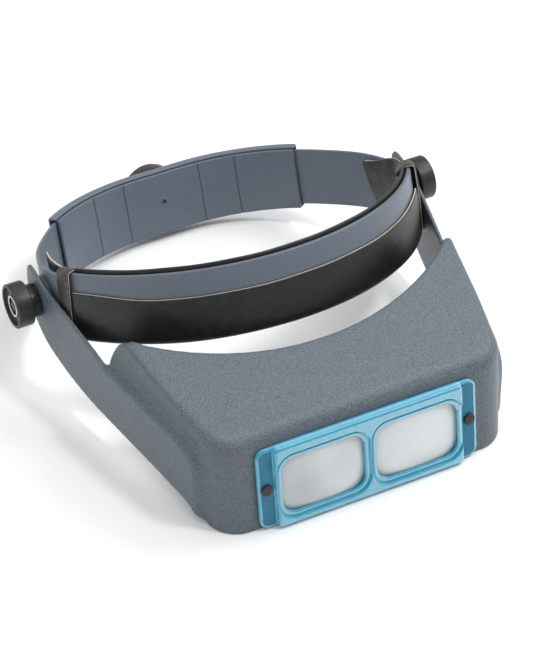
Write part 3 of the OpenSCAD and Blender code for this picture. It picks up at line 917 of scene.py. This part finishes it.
def make_rear_sleeve():
    """Outer plate with folded rims, and the scored inner plate with its eyelet."""
    first = NAPE - length_to_nape(SLEEVE_HALF_W)
    last = 2 * NAPE - first
    top, rim, lip = SLEEVE_HALF_H, SLEEVE_RIM, -SLEEVE_DEPTH + 1.6

    def shell_section(s):
        inset = end_inset(s, first, last, 0.6)
        outer, back = 0.0, -1.5
        return [(outer - inset, -top + 0.5 + inset), (outer - inset, top - 0.9 - inset),
                (outer - 0.35 - inset, top - 0.25 - inset), (outer - 1.0 - inset, top - inset),
                (lip + 0.3 + inset, top - 0.4 - inset), (lip + inset, top - 0.7 - inset),
                (lip + inset, top - rim - 0.6 + inset), (lip + 0.3 + inset, top - rim - 0.7 + inset),
                (back + inset, top - rim - 0.4 + inset), (back + inset, -top + rim - inset),
                (lip + 0.3 + inset, -top + rim - inset), (lip + inset, -top + rim - 0.3 - inset),
                (lip + inset, -top + 0.4 + inset), (lip + 0.4 + inset, -top + inset),
                (outer - 0.5 - inset, -top + inset)]

    stations = stations_between(first, last, 2.0, 0.9)
    piece = strip("sleeve_outer_plate", stations, shell_section, BAND_PLASTIC)
    stands_for(piece, "sleeve", "band_plastic", "rear_sleeve")

    scores = [NAPE + side * length_to_nape(x) for side in (-1, 1) for x in SCORE_X]

    def liner_section(s):
        inset = end_inset(s, first, last, 0.6)
        nearest = min(abs(s - score) for score in scores)
        groove = SCORE_DEPTH * (1 - smooth_step(nearest, 0.3 * SCORE_HALF_W, SCORE_HALF_W))
        return bar(-4.5 - inset, -SLEEVE_DEPTH + inset + groove, -top + inset, top - 1.5 - inset, 0.5)

    near = SCORE_HALF_W * np.array([-1.2, -1.0, -0.6, -0.3, 0.3, 0.6, 1.0, 1.2])
    liner_stations = np.unique(np.concatenate([stations] + [score + near for score in scores]))
    piece = strip("sleeve_inner_plate", liner_stations, liner_section, BAND_PLASTIC)
    stands_for(piece, "sleeve", "band_plastic", "rear_inner_plate")
    profile = [(0, 0.05), (0.9, 0.05), (1.15, 0.35), (1.5, 0.4), (1.8, 0.2), (1.8, -0.3), (0, -0.3)][::-1]
    # the eyelet is a low plastic rim; its flat centre is dark knob plastic, painted shade for the hole over
    # the end of the stud
    eyelet = turned("rivet_eyelet", profile, rear_place(BAND_REAR - SLEEVE_DEPTH, STUD_Z, -1),
                    BAND_PLASTIC, KNOB_PLASTIC, slots=lambda k: 1 if k > 3 else 0, around=32)
    stands_for(eyelet, "sleeve", "band_plastic", "rear_inner_plate")


HUB_X, HEAD_X, FACE_X = 95.8, 100.4, 108.0
REAR_KNOB_Y, REAR_KNOB_H = BAND_REAR + 0.95, 11.5


def make_knobs():
    for side, knob in ((-1, "left_knob"), (1, "right_knob")):
        body = "left_tilt_knob" if side < 0 else "right_tilt_knob"
        profile = knob_profile(7.75, 10.5, HEAD_X - HUB_X, FACE_X - HUB_X, 8.9, 3.2)
        moulding = turned(knob + "_moulding", profile, side_place(side, HUB_X), KNOB_PLASTIC)
        stands_for(moulding, body, "knob_plastic", knob)
        dish_x = FACE_X - DISH_DEPTH
        ring = turned(knob + "_trim", ring_profile(5.2), side_place(side, dish_x), RING_METAL)
        stands_for(ring, body, "ring_metal", knob + "_ring")
    profile = knob_profile(9.0, 14.5, 4.0, REAR_KNOB_H, 12.4, 3.0)
    moulding = turned("rear_knob_moulding", profile, rear_place(REAR_KNOB_Y, STUD_Z), KNOB_PLASTIC)
    stands_for(moulding, "rear_clamp_knob", "knob_plastic", "rear_knob")
    dish_y = REAR_KNOB_Y + REAR_KNOB_H - DISH_DEPTH
    ring = turned("rear_knob_trim", ring_profile(7.0), rear_place(dish_y, STUD_Z), RING_METAL)
    stands_for(ring, "rear_clamp_knob", "ring_metal", "rear_knob_ring")


def make_pins():
    for side, node in ((-1, "left_plate_pin"), (1, "right_plate_pin")):
        profile = eased([(0, -6.5), (1.9, -6.5), (1.9, 0.05), (2.7, 0.05), (2.7, 1.45), (0, 1.5)], 0.6)

        def place(points, shift=side * PIN_X):
            return from_plate(points + np.array([shift, 0, 0]))

        pin = turned(node + "_peg", profile, place, PIN_PLASTIC, around=40)
        stands_for(pin, node.replace("_plate", ""), "pin_plastic", node)


def paint_hardware():
    """Bolts, inserts, washers and the stud keep their CAD mesh and only get a material."""
    finishes = {STEEL: ("left_pivot_bolt", "right_pivot_bolt", "rear_stud"),
                BRASS: ("left_knob_insert", "right_knob_insert", "rear_knob_insert"),
                WASHER_FIBRE: ("left_friction_washer", "right_friction_washer", "rear_washer")}
    for material, nodes in finishes.items():
        for node in nodes:
            piece = frame["nodes"][node]
            piece.data.materials.clear()
            piece.data.materials.append(material)


make_visor()
make_lens_plate()
make_front_band()
make_comfort_band()
make_keeper(-1, "left_keeper", 15.0)
make_keeper(1, "right_keeper", 11.8)
make_side_strap(-1, "left_side_strap")
make_side_strap(1, "right_side_strap")
make_rear_sleeve()
make_knobs()
make_pins()
paint_hardware()


# ---- studio ----
def make_floor():
    reach, drop = 6000, -0.05
    corners = [(-reach, -reach, drop), (reach, -reach, drop), (reach, reach, drop), (-reach, reach, drop)]
    floor = add_mesh("studio_floor", corners, [(0, 1, 2, 3)])
    shader = Shader("studio_floor", Roughness=0.9, Specular_IOR_Level=0.1)
    shader.colour(shader.mix(shader.noise(300.0), srgb(246, 246, 246), srgb(250, 250, 250)))
    floor.data.materials.append(shader.material)


def make_light(name, place, size, watts):
    """Round soft lamp, aimed at the middle of the object."""
    aim = (0, 0, 0.03)
    light = bpy.data.lights.new(name, "AREA")
    light.shape = "DISK"
    light.size = size
    light.energy = watts
    lamp = bpy.data.objects.new(name, light)
    bpy.context.scene.collection.objects.link(lamp)
    lamp.location = place
    lamp.rotation_euler = (Vector(aim) - Vector(place)).to_track_quat("-Z", "Y").to_euler()


def make_world():
    """Even white light from all round."""
    world = bpy.data.worlds.new("studio")
    world.use_nodes = True
    background = world.node_tree.nodes["Background"]
    background.inputs["Color"].default_value = (1.0, 1.0, 1.0, 1.0)
    background.inputs["Strength"].default_value = 0.5
    bpy.context.scene.world = world


def make_camera():
    """Long lens from the front left, above: axes of the view and the object's place in it."""
    right = np.array([0.8892, -0.4575, 0.0])
    up = np.array([0.2945, 0.5723, 0.7653])
    back = np.cross(right, up)
    distance, shift_x, shift_y = 1188.24, 15.64, 19.45
    ring_offset = PIVOT - np.array([0.0, 76.8, -25.9])
    place = (-shift_x * right - shift_y * up + distance * back + ring_offset) * MM
    data = bpy.data.cameras.new("camera")
    data.sensor_fit = "VERTICAL"
    data.sensor_height = 36.0
    data.lens = 145.8
    data.clip_end = 50.0
    camera = bpy.data.objects.new("camera", data)
    bpy.context.scene.collection.objects.link(camera)
    axes = Matrix((right, up, back)).transposed().to_4x4()
    camera.matrix_world = Matrix.Translation(Vector(place)) @ axes
    bpy.context.scene.camera = camera


make_floor()
make_world()
make_camera()
make_light("overhead", (0.1, 0.3, 1.7), 2.6, 13.0)
make_light("key", (1.1, 0.1, 1.1), 0.9, 10.0)
make_light("fill", (-1.4, 0.1, 1.0), 1.6, 4.5)
make_light("gloss", (0.55, -0.48, 1.4), 0.22, 6.5)
bpy.context.scene.view_settings.view_transform = "Standard"
